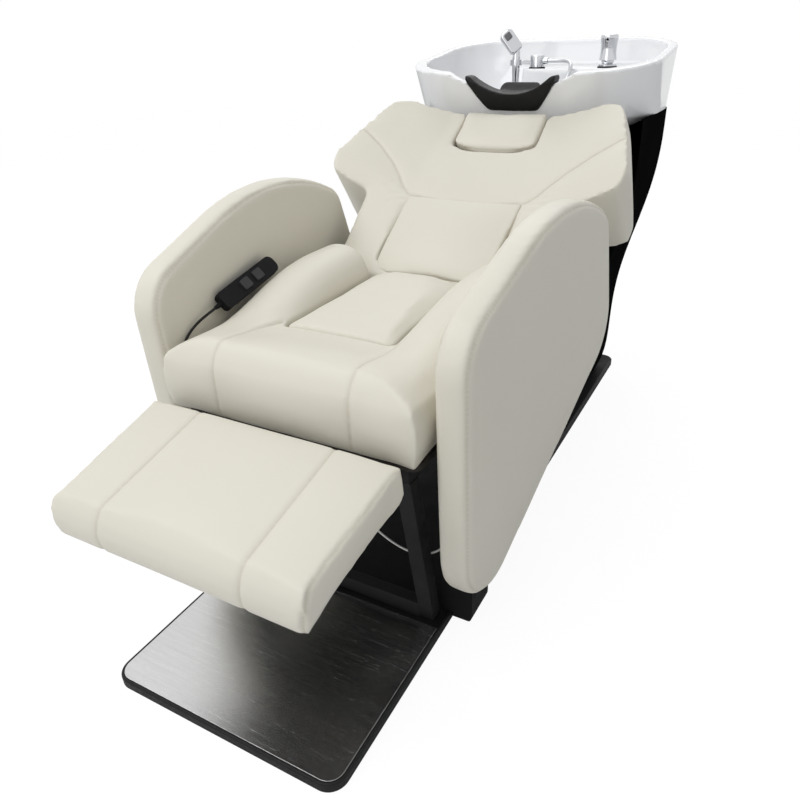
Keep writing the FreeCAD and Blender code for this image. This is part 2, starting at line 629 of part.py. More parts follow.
# Neck rest: rubber saddle over the rim with a tongue into the bowl
neck = neck_outline(0)
dip = Part.Wire([Part.Arc(V(-104, 300, 908), V(0, 300, 868), V(104, 300, 908)).toShape(),
                 Part.makeLine(V(104, 300, 908), V(140, 300, 912)),
                 Part.makeLine(V(140, 300, 912), V(140, 300, 1010)),
                 Part.makeLine(V(140, 300, 1010), V(-140, 300, 1010)),
                 Part.makeLine(V(-140, 300, 1010), V(-140, 300, 912)),
                 Part.makeLine(V(-140, 300, 912), V(-104, 300, 908))])
neck = neck.cut(Part.Face(dip).extrude(V(0, 200, 0)))
neck_front = prism_x([(wall_y(825) - 8, 825, 14), (wall_y(915) - 8, 915, 16), (wall_y(915) + 42, 915, 20),
                      (wall_y(860) + 44, 868, 12), (wall_y(825) + 34, 825, 12)], -130, 130)
tongue_y = wall_y(868) + 38
tongue = prism_z(slab(52, tongue_y, tongue_y + 44, 0, 16), 856, 867.5)
node("neck_rest", neck.common(neck_front).fuse(tongue).removeSplitter())
node("basin_posts", pair(box(95, 135, 635, 675, deck_top, bowl_under)))

# Waste: flange through the bowl floor, backnut, tail and a loose strainer
flange = rod(V(0, drain_y, bowl_floor + gap), V(0, 0, 1), 34, 3)
flange_low = bowl_under - 45
flange = flange.fuse(rod(V(0, drain_y, flange_low), V(0, 0, 1), 22, bowl_floor + 1 - flange_low))
flange = flange.cut(rod(V(0, drain_y, flange_low - 20), V(0, 0, 1), 17, 300))
node("drain_flange", flange.removeSplitter())
nut = prism_z([(34 * math.cos(math.radians(60 * i)), drain_y + 34 * math.sin(math.radians(60 * i)), 0)
               for i in range(6)], bowl_under - 14, bowl_under - gap)
nut = nut.cut(rod(V(0, drain_y, flange_low), V(0, 0, 1), 22.05, 60))
tail_r = 20.0
node("drain_tail", Part.makeCompound([nut, ring(V(0, drain_y, flange_low - 80), V(0, 0, 1), tail_r, 17, 80)]))
strainer = rod(V(0, drain_y, bowl_floor + 3 + 2 * gap), V(0, 0, 1), 27, 2.5)
strainer = strainer.fuse(rod(V(0, drain_y, bowl_floor - 12), V(0, 0, 1), 16, 16))
strainer = strainer.cut(rod(V(0, drain_y, bowl_floor - 10), V(0, 0, 1), 14, 40))
for i in range(6):
    way = math.radians(60 * i)
    spot = V(9 * math.cos(way), drain_y + 9 * math.sin(way), bowl_floor - 40)
    strainer = strainer.cut(rod(spot, V(0, 0, 1), 2.6, 60))
node("drain_strainer", strainer.removeSplitter())

# Mixer: seal, base, swivel dome and a waisted handle that tips on it
mixer_base_z = deck_z + 4
pivot_z = mixer_base_z + 13
dome_r = 16.5
mixer_seal = ring(V(mixer_x, mixer_y, deck_z), V(0, 0, 1), 25.5, 9, 3)
base = rod(V(mixer_x, mixer_y, deck_z + 3), V(0, 0, 1), 24, 5)
base = base.fuse(rod(V(mixer_x, mixer_y, deck_z - 110), V(0, 0, 1), 8.5, 114))
node("mixer_base", base.removeSplitter())
dome = Part.makeSphere(dome_r, V(mixer_x, mixer_y, pivot_z))
dome = dome.common(rod(V(mixer_x, mixer_y, deck_z + 8 + gap), V(0, 0, 1), 30, 40))
node("mixer_dome", dome)
waist = Part.Wire([Part.Arc(V(22.5, 0, 1), V(20, 0, 24), V(22.5, 0, 50)).toShape(),
                   Part.makeLine(V(22.5, 0, 50), V(22.5, 0, 56)),
                   Part.Arc(V(22.5, 0, 56), V(21, 0, 59.4), V(17.5, 0, 61)).toShape(),
                   Part.makeLine(V(17.5, 0, 61), V(0, 0, 61)),
                   Part.makeLine(V(0, 0, 61), V(0, 0, 1)),
                   Part.makeLine(V(0, 0, 1), V(22.5, 0, 1))])
handle = Part.Face(waist).revolve(V(0, 0, 0), V(0, 0, 1), 360)
handle.translate(V(mixer_x, mixer_y, pivot_z))
handle = handle.cut(Part.makeSphere(dome_r + gap, V(mixer_x, mixer_y, pivot_z)))
plug_at = V(mixer_x, mixer_y - 24, pivot_z + 49)
handle = handle.cut(rod(plug_at, V(0, 1, 0), 3.2, 12))
node("mixer_handle", handle)
node("mixer_plug", rod(plug_at + V(0, 2.4, 0), V(0, 1, 0), 3.0, 9.6))

# Hose outlet with the wand holder, the wand and its hose
hub_r = 19.5
hub_seal = ring(V(hub_x, hub_y, deck_z), V(0, 0, 1), 22, 7, 3)
node("tap_seals", Part.makeCompound([mixer_seal, hub_seal]))
hub = rod(V(hub_x, hub_y, deck_z + 3), V(0, 0, 1), hub_r, 30)
hub = hub.fuse(rod(V(hub_x, hub_y, deck_z - 60), V(0, 0, 1), 6.5, 64))
hub = hub.fuse(rod(V(hub_x + 8, hub_y, deck_z + 18), V(1, 0, 0), 8.5, 22))
hub_edges = [edge for edge in hub.Edges if edge.BoundBox.ZMin > deck_z + 32.9]
node("hose_outlet", hub.makeFillet(4, hub_edges).removeSplitter())
holder_z = deck_z + 8
holder = ring(V(wand_x, wand_y, holder_z), V(0, 0, 1), 16, 11.4, 14)
bridge = prism_z([(wand_x, wand_y - 5, 0), (hub_x, hub_y - 7, 0), (hub_x, hub_y + 7, 0),
                  (wand_x, wand_y + 5, 0)], holder_z + 2, holder_z + 12)
bridge = bridge.cut(rod(V(wand_x, wand_y, 800), V(0, 0, 1), 14, 200))
bridge = bridge.cut(rod(V(hub_x, hub_y, 800), V(0, 0, 1), hub_r + 0.02, 200))
node("wand_holder", holder.fuse(bridge).removeSplitter())
wand_low = 834.0
hose_r = 5.0
wand_neck = 956.0
profile = Part.Wire([Part.makeLine(V(0, 0, wand_low), V(8, 0, wand_low)),
                     Part.makeLine(V(8, 0, wand_low), V(10.8, 0, holder_z)),
                     Part.Arc(V(10.8, 0, holder_z), V(10.6, 0, holder_z + 14), V(9, 0, wand_neck)).toShape(),
                     Part.makeLine(V(9, 0, wand_neck), V(0, 0, wand_neck)),
                     Part.makeLine(V(0, 0, wand_neck), V(0, 0, wand_low))])
stem = Part.Face(profile).revolve(V(0, 0, 0), V(0, 0, 1), 360)
stem.translate(V(wand_x, wand_y, 0))
head_turn = FreeCAD.Rotation(V(1, 0, 0), V(-0.62, -0.12, 0.78), V(0.32, -0.88, 0.35), "YZX")


def on_wand(shape):
    """Spray head: its length runs up and to the side from the top of the stem, its back to the front."""
    return shape.transformGeometry(FreeCAD.Placement(V(wand_x, wand_y, wand_neck - 2), head_turn).toMatrix())


spray = prism_z(slab(19, -5, 58, 9, 13), -12, 12)
spray = spray.makeFillet(6, [edge for edge in spray.Edges if edge.BoundBox.ZLength < 0.01])
spray = spray.cut(prism_z(slab(9.3, 30.7, 49.3, 4, 4), 10, 13))
ferrule = ring(V(wand_x, wand_y, wand_low - 14), V(0, 0, 1), 8, hose_r + gap, 14)
node("wand", Part.makeCompound([stem.fuse(on_wand(spray)).removeSplitter(), ferrule]))
node("wand_key", on_wand(prism_z(slab(9, 31, 49, 3.7, 3.7), 10, 13.6)))
hose = [V(hub_x + 30, hub_y, deck_z + 18), V(22, hub_y, deck_z + 18), V(50, 694, deck_z + 18),
        V(70, 669, deck_z + 14), V(77, 641, deck_z - 4), V(70, 621, 875), V(49, 612, 843), V(17, 614, 812),
        V(-19, 624, 788), V(-55, 641, 771), V(-80, 662, 768), V(wand_x, 681, 783), V(wand_x, wand_y, 808),
        V(wand_x, wand_y, wand_low)]
cord("shower_hose", hose, hose_r, 6 * hose_r)

# Fasteners: back cover screws and cowl door screws
heads = []
for x in (-170, 170):
    for u in (100, 237, 374):
        heads.append(rod(V(x, u, back_rear), V(0, 0, -1), 5, 2.5))
node("cover_screws", on_back(Part.makeCompound(heads)))
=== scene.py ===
import math

import bmesh
import bpy
import numpy as np
from mathutils import Matrix, Vector
from mathutils.bvhtree import BVHTree
from mathutils.kdtree import KDTree


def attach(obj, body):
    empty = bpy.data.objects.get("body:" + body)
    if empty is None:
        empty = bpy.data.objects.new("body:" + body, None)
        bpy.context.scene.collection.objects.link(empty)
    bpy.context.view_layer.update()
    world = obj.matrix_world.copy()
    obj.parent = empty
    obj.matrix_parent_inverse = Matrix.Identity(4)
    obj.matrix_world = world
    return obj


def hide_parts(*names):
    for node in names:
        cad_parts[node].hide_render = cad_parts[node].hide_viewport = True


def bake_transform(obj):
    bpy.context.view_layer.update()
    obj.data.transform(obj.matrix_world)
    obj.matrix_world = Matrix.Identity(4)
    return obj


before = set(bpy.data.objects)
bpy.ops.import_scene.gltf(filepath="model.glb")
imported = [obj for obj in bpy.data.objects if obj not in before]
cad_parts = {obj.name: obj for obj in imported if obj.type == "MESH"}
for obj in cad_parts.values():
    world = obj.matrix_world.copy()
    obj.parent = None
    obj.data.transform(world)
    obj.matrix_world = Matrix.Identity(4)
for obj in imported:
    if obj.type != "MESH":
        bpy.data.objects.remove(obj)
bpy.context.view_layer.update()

scene = bpy.context.scene
scene.view_settings.view_transform = "Standard"

# Camera: stands in front of the sitter's left knee and looks down on the unit, close enough that the
# foot plate is larger than the basin.
lens_data = bpy.data.cameras.new("view_camera")
lens_data.lens = 30.77
lens_data.sensor_width = 36.0
lens_data.shift_x = -0.0111
lens_data.shift_y = 0.0122
lens_data.dof.use_dof = False
view_camera = bpy.data.objects.new("view_camera", lens_data)
view_right = Vector((0.8809, 0.4722, -0.0317))
view_up = Vector((-0.2060, 0.4429, 0.8725))
view_back = Vector((0.4261, -0.7621, 0.4875))
turn = Matrix((view_right, view_up, view_back)).transposed()
view_camera.matrix_world = Matrix.Translation((0.655, -1.330, 1.017)) @ turn.to_4x4()
scene.collection.objects.link(view_camera)
scene.camera = view_camera


# Studio: a white room with a pale floor, one large soft lamp above on the sitter's right, weaker
# ones in front, behind and over the lap, and an even white sky.
class Value:
    """A socket in a material, with the sums its pattern needs."""

    def __init__(self, tree, socket):
        self.tree = tree
        self.socket = socket

    def sum_of(self, operation, first, second):
        step = self.tree.nodes.new("ShaderNodeMath")
        step.operation = operation
        for place, item in enumerate((first, second)):
            if isinstance(item, Value):
                self.tree.links.new(item.socket, step.inputs[place])
            else:
                step.inputs[place].default_value = item
        return Value(self.tree, step.outputs[0])

    def __add__(self, other):
        return self.sum_of("ADD", self, other)

    def __radd__(self, other):
        return self.sum_of("ADD", other, self)

    def __mul__(self, other):
        return self.sum_of("MULTIPLY", self, other)

    def __rmul__(self, other):
        return self.sum_of("MULTIPLY", other, self)


class Finish:
    """A material with one surface shader, filled from node calls."""

    def __init__(self, name):
        self.material = bpy.data.materials.new(name)
        self.material.use_nodes = True
        self.tree = self.material.node_tree
        self.shader = self.tree.nodes["Principled BSDF"]
        self.place = self.node("ShaderNodeTexCoord", out="Object")

    def node(self, kind, settings=(), out=0, **sockets):
        step = self.tree.nodes.new(kind)
        for key, value in dict(settings).items():
            setattr(step, key, value)
        for key, value in sockets.items():
            self.fill(step, key.replace("_", " "), value)
        return Value(self.tree, step.outputs[out])

    def fill(self, step, key, value):
        socket = step.inputs[int(key[1:])] if key[1:].isdigit() else step.inputs[key]
        if isinstance(value, Value):
            self.tree.links.new(value.socket, socket)
        else:
            socket.default_value = value

    def surface(self, **sockets):
        for key, value in sockets.items():
            self.fill(self.shader, key.replace("_", " "), value)

    def noise(self, scale, detail=2.0, rough=0.5, stretch=(1, 1, 1)):
        spot = self.node("ShaderNodeMapping", Vector=self.place, Scale=stretch)
        return self.node("ShaderNodeTexNoise", out="Fac", Vector=spot, Scale=scale, Detail=detail,
                         Roughness=rough)

    def blend(self, factor, first, second):
        return self.node("ShaderNodeMix", {"data_type": "RGBA"}, out=2, i0=factor, i6=first, i7=second)

    def spread(self, value, low, high, to_low, to_high):
        return self.node("ShaderNodeMapRange", Value=value, From_Min=low, From_Max=high, To_Min=to_low,
                         To_Max=to_high)

    def bump(self, height, depth, strength=1.0):
        return self.node("ShaderNodeBump", Height=height, Distance=depth, Strength=strength)


world = bpy.data.worlds.new("white_room")
scene.world = world
world.use_nodes = True
sky = world.node_tree
sky_light = sky.nodes["Background"]
sky_light.inputs["Color"].default_value = (0.97, 0.985, 1.0, 1)
sky_light.inputs["Strength"].default_value = 0.50
sky_white = sky.nodes.new("ShaderNodeBackground")
sky_white.inputs["Color"].default_value = (1, 1, 1, 1)
sky_path = sky.nodes.new("ShaderNodeLightPath")
seen = Value(sky, sky_path.outputs["Is Camera Ray"])
seen = seen + Value(sky, sky_path.outputs["Is Glossy Ray"])
seen = seen + Value(sky, sky_path.outputs["Is Transmission Ray"])
sky_mix = sky.nodes.new("ShaderNodeMixShader")
sky.links.new(seen.socket, sky_mix.inputs[0])
sky.links.new(sky_light.outputs[0], sky_mix.inputs[1])
sky.links.new(sky_white.outputs[0], sky_mix.inputs[2])
sky.links.new(sky_mix.outputs[0], sky.nodes["World Output"].inputs["Surface"])

floor_size = 8.0
floor_below = 0.0006
floor_glow = 0.84
floor_mesh = bpy.data.meshes.new("studio_floor")
corners = [(x * floor_size, y * floor_size, -floor_below) for x, y in ((-1, -1), (1, -1), (1, 1), (-1, 1))]
floor_mesh.from_pydata(corners, [], [(0, 1, 2, 3)])
studio_floor = bpy.data.objects.new("studio_floor", floor_mesh)
scene.collection.objects.link(studio_floor)
floor_finish = Finish("studio_floor")
floor_finish.surface(Base_Color=(0.82, 0.82, 0.82, 1), Roughness=0.8)
floor_tree = floor_finish.tree
floor_white = floor_tree.nodes.new("ShaderNodeEmission")
floor_white.inputs["Strength"].default_value = 1.1
floor_path = floor_tree.nodes.new("ShaderNodeLightPath")
floor_mix = floor_tree.nodes.new("ShaderNodeMixShader")
floor_seen = Value(floor_tree, floor_path.outputs["Is Camera Ray"]) * floor_glow
floor_tree.links.new(floor_seen.socket, floor_mix.inputs[0])
floor_tree.links.new(floor_finish.shader.outputs[0], floor_mix.inputs[1])
floor_tree.links.new(floor_white.outputs[0], floor_mix.inputs[2])
floor_tree.links.new(floor_mix.outputs[0], floor_tree.nodes["Material Output"].inputs["Surface"])
floor_mesh.materials.append(floor_finish.material)


def lamp(name, spot, aim, size, watts):
    light = bpy.data.lights.new(name, "AREA")
    light.size = size
    light.energy = watts
    holder = bpy.data.objects.new(name, light)
    way = Vector(aim) - Vector(spot)
    holder.matrix_world = Matrix.Translation(spot) @ way.to_track_quat("-Z", "Y").to_matrix().to_4x4()
    scene.collection.objects.link(holder)


lamp("key_lamp", (-1.3, -1.2, 3.4), (0, 0, 0.5), 2.4, 42)
lamp("front_lamp", (-0.5, -3.2, 1.7), (0, 0.2, 0.6), 2.2, 16)
lamp("rear_lamp", (-0.6, 2.4, 2.8), (0, 0.4, 0.7), 1.8, 18)
lamp("lap_lamp", (0.30, -1.5, 2.2), (-0.05, 0.2, 0.7), 1.0, 4)


# Cords: the handset's black lead into the gap beside the seat, the white lead looped under the seat
# front, and the smooth silver shower hose; each is one limp tube that goes into something at both ends
def made_mesh(piece):
    """The mesh that a piece comes to with its modifiers or its curve's thickness."""
    return bpy.data.meshes.new_from_object(piece.evaluated_get(bpy.context.evaluated_depsgraph_get()))


def put(piece, finish, slot, body, *nodes):
    piece.data.materials.clear()
    piece.data.materials.append(finish.material)
    if body:
        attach(piece, body)
    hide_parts(*nodes)


def lay_cord(name, route, radius, finish, slot, body, node, bend=None):
    """A cord along its route in mm; given a bend, it is made a mesh where it lies and put on no body; what
    bend holds is not read.
    """
    line = bpy.data.curves.new(name, "CURVE")
    line.dimensions = "3D"
    line.bevel_depth = radius
    line.bevel_resolution = 4
    line.use_fill_caps = True
    spline = line.splines.new("NURBS")
    spline.points.add(len(route) - 1)
    for place, spot in zip(spline.points, route):
        place.co = (*[n / 1000 for n in spot], 1)
    spline.order_u = 3
    spline.use_endpoint_u = True
    spline.resolution_u = 10
    piece = bpy.data.objects.new(name, line)
    scene.collection.objects.link(piece)
    bare = line.copy()
    bare.bevel_depth = 0
    probe = bpy.data.objects.new(name + "_probe", bare)
    scene.collection.objects.link(probe)
    bpy.context.view_layer.update()
    path = made_mesh(probe)
    bpy.data.objects.remove(probe)
    if bend:
        tube = made_mesh(piece)
        bpy.data.objects.remove(piece)
        piece = bpy.data.objects.new(name, tube)
        scene.collection.objects.link(piece)
    put(piece, finish, slot, None if bend else body, node)
    if bend:
        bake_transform(piece)


black_rubber = Finish("black_rubber")
black_rubber.surface(
    Base_Color=black_rubber.blend(black_rubber.noise(40, 4), (0.006, 0.006, 0.006, 1),
                                  (0.014, 0.014, 0.014, 1)),
    Roughness=black_rubber.spread(black_rubber.noise(120, 2), 0.3, 0.7, 0.42, 0.56),
    Specular_IOR_Level=0.2,
    Normal=black_rubber.bump(black_rubber.noise(700, 2), 0.00015, 0.4))
handset_route = [(-250.5, -424.7, 572.4), (-250.5, -449.3, 567.6), (-253, -474, 561), (-256, -497, 551),
                 (-258, -518, 536), (-258.5, -532, 513), (-258.5, -538, 484), (-258.3, -536, 454),
                 (-255.5, -525, 428), (-251, -509, 410), (-240, -494, 401), (-220.4, -494, 401)]
lay_cord("handset_lead", handset_route, 0.0025, black_rubber, "black_rubber", "base", "handset_cord")

white_plastic = Finish("white_lead")
white_plastic.surface(
    Base_Color=white_plastic.blend(white_plastic.noise(50, 3), (0.68, 0.68, 0.66, 1),
                                   (0.80, 0.80, 0.78, 1)),
    Roughness=0.42)
loop_route = [(45, -545, 382), (45, -545, 338), (56, -524, 290), (76, -502, 247), (104, -489, 207),
              (138, -482, 179), (174, -479, 168), (208, -479, 176), (240, -479, 203), (260, -479, 240),
              (260, -479, 276)]
lay_cord("white_lead", loop_route, 0.002, white_plastic, "white_plastic", "base", "actuator_lead")

silver = Finish("silver_hose")
silver.surface(
    Base_Color=silver.blend(silver.noise(300, 3), (0.50, 0.51, 0.53, 1), (0.62, 0.63, 0.65, 1)),
    Metallic=0.7, Roughness=0.25)
hose_route = [(-6, 705, 926), (22, 705, 926), (50, 694, 926), (70, 669, 922), (77, 641, 904),
              (70, 621, 875), (49, 612, 843), (17, 614, 812), (-19, 624, 788), (-55, 641, 771),
              (-80, 662, 768), (-92, 681, 783), (-92, 689, 808), (-92, 689, 834)]
lower_bend = ("hand_wand", (-0.030, 0.65, 0.78), (-0.088, 0.65, 0.78))
lay_cord("shower_hose_skin", hose_route, 0.005, silver, "silver_hose", "base", "shower_hose",
         lower_bend)


# Floor plate: painted steel plate with a board on it behind and a rubber strip pressed round its edge;
# all of it is flat stock, so the CAD solids stay, the plate and board get rounded edges, and all get a
# finish.
def fair_copy(node, name, bevel, sharp=34):
    """Welded copy of a CAD node, flat faces joined up, with small rounded edges."""
    net = bmesh.new()
    net.from_mesh(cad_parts[node].data)
    bmesh.ops.remove_doubles(net, verts=net.verts, dist=2e-5)
    bmesh.ops.dissolve_limit(net, angle_limit=math.radians(1.2), verts=net.verts, edges=net.edges)
    mesh = bpy.data.meshes.new(name)
    net.to_mesh(mesh)
    net.free()
    mesh.materials.clear()
    mesh.shade_smooth()
    mesh.set_sharp_from_angle(angle=math.radians(sharp))
    piece = bpy.data.objects.new(name, mesh)
    scene.collection.objects.link(piece)
    if bevel:
        edge = piece.modifiers.new("edge", "BEVEL")
        edge.width = bevel
        edge.segments = 2
        edge.limit_method = "ANGLE"
        edge.angle_limit = math.radians(sharp)
        edge.harden_normals = True
        settle(piece)
    return piece


def settle(piece):
    """Turns a piece's modifiers into its own mesh."""
    result = made_mesh(piece)
    result.name = piece.name
    piece.modifiers.clear()
    piece.data = result


black_metal = Finish("black_powder_coat")
coat_grain = black_metal.noise(900, 3)
black_metal.surface(
    Base_Color=black_metal.blend(coat_grain, (0.008, 0.008, 0.009, 1), (0.018, 0.018, 0.019, 1)),
    Roughness=black_metal.spread(black_metal.noise(14, 3), 0.3, 0.7, 0.42, 0.56),
    Specular_IOR_Level=0.15, Normal=black_metal.bump(coat_grain, 0.0002, 0.5))
put(fair_copy("floor_plate", "floor_plate_skin", 0.001), black_metal, "black_metal", "base",
    "floor_plate")

black_plastic = Finish("black_moulding")
mould_grain = black_plastic.node("ShaderNodeTexVoronoi", out="Distance", Vector=black_plastic.place,
                                 Scale=1400)
black_plastic.surface(
    Base_Color=black_plastic.blend(black_plastic.noise(9, 3), (0.007, 0.007, 0.008, 1),
                                   (0.013, 0.013, 0.014, 1)),
    Roughness=black_plastic.spread(black_plastic.noise(30, 3), 0.3, 0.7, 0.52, 0.68),
    Specular_IOR_Level=0.1, Normal=black_plastic.bump(mould_grain, 0.00012, 0.5))
put(fair_copy("floor_boards", "floor_boards_skin", 0.001), black_plastic, "black_plastic", "base",
    "floor_boards")

put(fair_copy("floor_trim", "floor_trim_skin", 0), black_rubber, "black_rubber", "base", "floor_trim")

# Foot plate: stainless sheet brushed from side to side and glued on the board, its cut edge left
# bright; the brush marks smear what it mirrors
stainless = Finish("brushed_stainless")
brush_fine = stainless.noise(60, 4, 0.7, (1, 30, 30))
brush_wide = stainless.noise(9, 3, 0.6, (1, 24, 24))
brush = brush_fine * 0.6 + brush_wide * 0.4
stainless.surface(Base_Color=stainless.blend(brush, (0.50, 0.50, 0.50, 1), (0.74, 0.74, 0.74, 1)),
                  Metallic=1.0,
                  Roughness=stainless.spread(brush, 0.3, 0.7, 0.16, 0.30),
                  Normal=stainless.bump(brush_fine, 0.0003, 0.4))
put(fair_copy("foot_plate", "foot_plate_sheet", 0.0006), stainless, "stainless", "base", "foot_plate")

# Frame under the seat: welded square tube in black powder coat, with the hinge plates, their ground
# steel pins and the push rods
for node in ("frame_posts", "seat_frame", "hinge_brackets", "basin_posts"):
    put(fair_copy(node, node + "_tube", 0.0022), black_metal, "black_metal", "base", node)
for node, body in (("leg_rest_arms", "leg_rest"), ("back_hinge_plates", "backrest"),
                   ("back_frame", "backrest")):
    put(fair_copy(node, node + "_bar", 0.0012), black_metal, "black_metal", body, node)

bright_steel = Finish("ground_steel")
lathe = bright_steel.noise(80, 3, 0.6, (14, 1, 1))
bright_steel.surface(Base_Color=bright_steel.blend(lathe, (0.44, 0.44, 0.45, 1), (0.60, 0.60, 0.61, 1)),
                     Metallic=1.0, Roughness=bright_steel.spread(lathe, 0.3, 0.7, 0.22, 0.36))
for node, body in (("hinge_pins", "base"), ("arm_spacers", "base"), ("leg_push_rod", "leg_rod"),
                   ("back_push_rod", "back_rod"), ("cover_screws", "backrest")):
    put(fair_copy(node, node + "_steel", 0.0006), bright_steel, "bright_steel", body, node)

# Boards: plywood stained black, its plies just showing on the cut edges; one carries each pad and the
# pads are stapled to them
plywood = Finish("stained_plywood")
ply_grain = plywood.noise(14, 5, 0.6, (1, 0.12, 6))
plywood.surface(Base_Color=plywood.blend(ply_grain, (0.016, 0.014, 0.012, 1), (0.045, 0.039, 0.034, 1)),
                Roughness=plywood.spread(ply_grain, 0.3, 0.7, 0.6, 0.75), Specular_IOR_Level=0.3,
                Normal=plywood.bump(ply_grain, 0.0004, 0.4))
for node, body in (("seat_board", "base"), ("leg_rest_board", "leg_rest"), ("back_board", "backrest")):
    put(fair_copy(node, node + "_ply", 0.001), plywood, "plywood", body, node)

# Mouldings: the feet under the side panels, both drives with their rollers, the control box, glands
# and the cover behind the backrest, all in satin black plastic
for node, body in (("side_feet", "base"), ("leg_drive", "base"), ("back_drive", "base"),
                   ("control_box", "base"), ("mains_inlet", "base"), ("cord_glands", "base"),
                   ("leg_roller", "leg_rod"), ("back_roller", "back_rod"), ("back_cover", "backrest")):
    put(fair_copy(node, node + "_moulding", 0.0016), black_plastic, "black_plastic", body, node)


# Upholstery: every pad is foam under cream leather, cut in panels and sewn; the panels swell between
# the sewn lines, which pull in and carry a row of stitches.
leather = Finish("cream_leather")
pebble = leather.node("ShaderNodeTexVoronoi", {"feature": "DISTANCE_TO_EDGE"}, out="Distance",
                      Vector=leather.place, Scale=520, Randomness=1.0)
pebble = leather.spread(pebble, 0.0, 0.25, 0.0, 1.0)
crease = leather.noise(26, 5, 0.62)
cloud = leather.noise(3.2, 3)
seam_shade_mask = leather.node("ShaderNodeAttribute", {"attribute_name": "sewn"}, out="Fac")
pull = leather.node("ShaderNodeAttribute", {"attribute_name": "pull"}, out="Fac")
pucker = leather.noise(95, 2, 0.5) * pull
hide_tone_and_seam_shade = leather.blend(cloud, (0.695, 0.664, 0.575, 1), (0.735, 0.706, 0.618, 1))
# Painted shade: the leather is blended towards dark brown along every seam, standing in for the shadow in
# the pulled-in groove.
hide_tone_and_seam_shade = leather.blend(seam_shade_mask * 0.55, hide_tone_and_seam_shade, (0.40, 0.36, 0.28, 1))
leather.surface(Base_Color=hide_tone_and_seam_shade, Specular_IOR_Level=0.42,
                Roughness=leather.spread(pebble * 0.4 + crease * 0.6, 0.2, 0.8, 0.52, 0.40),
                Normal=leather.bump(pebble * 0.10 + crease * 0.75 + pucker * 1.2, 0.0011, 0.30))


def reskinned(node, name, voxel, rounds):
    """Even mesh over a CAD node, with every edge rounded."""
    piece = fair_copy(node, name, 0)
    grid = piece.modifiers.new("skin", "REMESH")
    grid.mode = "VOXEL"
    grid.voxel_size = voxel
    settle(piece)
    relax(piece, rounds)
    return piece


def cut_pad(node, name, voxel, inset, rounds=6):
    """Skin of a pad, taken a little inside its solid so that it can swell."""
    piece = reskinned(node, name, voxel, rounds)
    shift_along_normals(piece, np.full(len(piece.data.vertices), -inset))
    return piece


def points_of(piece):
    spots = np.empty(len(piece.data.vertices) * 3)
    piece.data.vertices.foreach_get("co", spots)
    return spots.reshape(-1, 3)


def normals_of(piece):
    ways = np.empty(len(piece.data.vertices) * 3)
    piece.data.vertex_normals.foreach_get("vector", ways)
    return ways.reshape(-1, 3)


def move_to(piece, spots):
    piece.data.vertices.foreach_set("co", spots.ravel())
    piece.data.update()


def shift_along_normals(piece, amount):
    move_to(piece, points_of(piece) + normals_of(piece) * amount[:, None])


def evened(piece, values, shares):
    """Values at the skin's points, moved towards their neighbours' mean by each share in turn."""
    pairs = np.empty(len(piece.data.edges) * 2, np.int64)
    piece.data.edges.foreach_get("vertices", pairs)
    first, second = pairs.reshape(-1, 2).T
    count = np.bincount(pairs, minlength=len(values))[:, None]
    for share in shares:
        total = np.zeros_like(values)
        np.add.at(total, first, values[second])
        np.add.at(total, second, values[first])
        values = values + share * (total / count - values)
    return values


def relax(piece, rounds):
    """Evens the remeshed skin out, forwards and back so that it keeps its volume."""
    move_to(piece, evened(piece, points_of(piece), [0.55, -0.57] * rounds))


def skin_of(piece):
    net = bmesh.new()
    net.from_mesh(piece.data)
    skin = BVHTree.FromBMesh(net)
    net.free()
    return skin


def on_skin(piece, lines):
    """Each sewn line, laid on the pad's skin."""
    skin = skin_of(piece)
    return [[skin.find_nearest(Vector(spot))[0] for spot in line] for line in lines]


def walk(stops, step=0.004):
    """Points every few millimetres along straight legs between stops."""
    line = []
    for start, end in zip(stops, stops[1:]):
        start, end = Vector(start), Vector(end)
        count = max(2, int((end - start).length / step))
        line += [start.lerp(end, i / count) for i in range(count)]
    return line + [Vector(stops[-1])]


def nearness(piece, lines, reach):
    """How close each point of the skin is to a sewn line, 1 on it and 0 away from it."""
    spots = [spot for line in lines for spot in line]
    tree = KDTree(len(spots))
    for i, spot in enumerate(spots):
        tree.insert(spot, i)
    tree.balance()
    far = np.array([tree.find(v.co)[2] for v in piece.data.vertices])
    return np.exp(-(far / reach) ** 2)


def swell(piece, lines, cap):
    """Air pressure in the pad, held along its sewn lines."""
    hold_reach, hold_from, hold_back = 0.006, 0.4, 0.6
    air_frames = 20
    held = nearness(piece, lines, hold_reach)
    pins = piece.vertex_groups.new(name="held")
    for i in np.nonzero(held > hold_from)[0]:
        pins.add([int(i)], 1.0, "REPLACE")
    start = points_of(piece)
    cloth = piece.modifiers.new("air", "CLOTH")
    cloth.settings.quality = 3
    cloth.settings.use_pressure = True
    cloth.settings.uniform_pressure_force = 4
    cloth.settings.vertex_group_mass = "held"
    cloth.settings.effector_weights.gravity = 0
    cloth.collision_settings.use_collision = False
    for count in range(1, air_frames + 1):
        scene.frame_set(count)
    settle(piece)
    scene.frame_set(1)
    piece.vertex_groups.clear()
    moved = points_of(piece) - start
    length = np.linalg.norm(moved, axis=1, keepdims=True)
    moved = moved * np.minimum(1, cap / np.maximum(length, 1e-9))
    move_to(piece, start + evened(piece, moved, [0.5] * 24) * (1 - held[:, None] * hold_back))
    relax(piece, 2)


